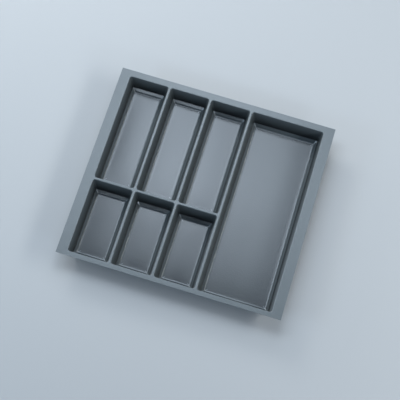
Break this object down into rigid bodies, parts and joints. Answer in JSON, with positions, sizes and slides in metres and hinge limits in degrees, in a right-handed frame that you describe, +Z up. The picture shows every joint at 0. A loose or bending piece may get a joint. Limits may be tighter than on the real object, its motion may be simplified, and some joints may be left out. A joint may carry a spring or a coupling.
{
  "type": "cutlery tray",
  "caption": "Shallow formed-plastic cutlery tray for a kitchen drawer: a flat rim and narrow ridges around sloped pans, short ones in front, long ones behind and a full-depth wide one.",
  "frame": {"origin": "middle of the rim's outline, on the drawer floor that the pans stand on", "axes": "+X across the drawer towards the wide pan, +Y from the drawer's front to its back, +Z up"},
  "size_m": [0.517, 0.4724, 0.048],
  "materials": {
    "grey_sheet": "satin, slightly grained"
  },
  "bodies": {
    "root": {"rim_deck": "grey_sheet", "short_pan_left": "grey_sheet", "long_pan_left": "grey_sheet", "short_pan_middle": "grey_sheet", "long_pan_middle": "grey_sheet", "short_pan_right": "grey_sheet", "long_pan_right": "grey_sheet", "wide_pan": "grey_sheet"}
  },
  "joints": []
}
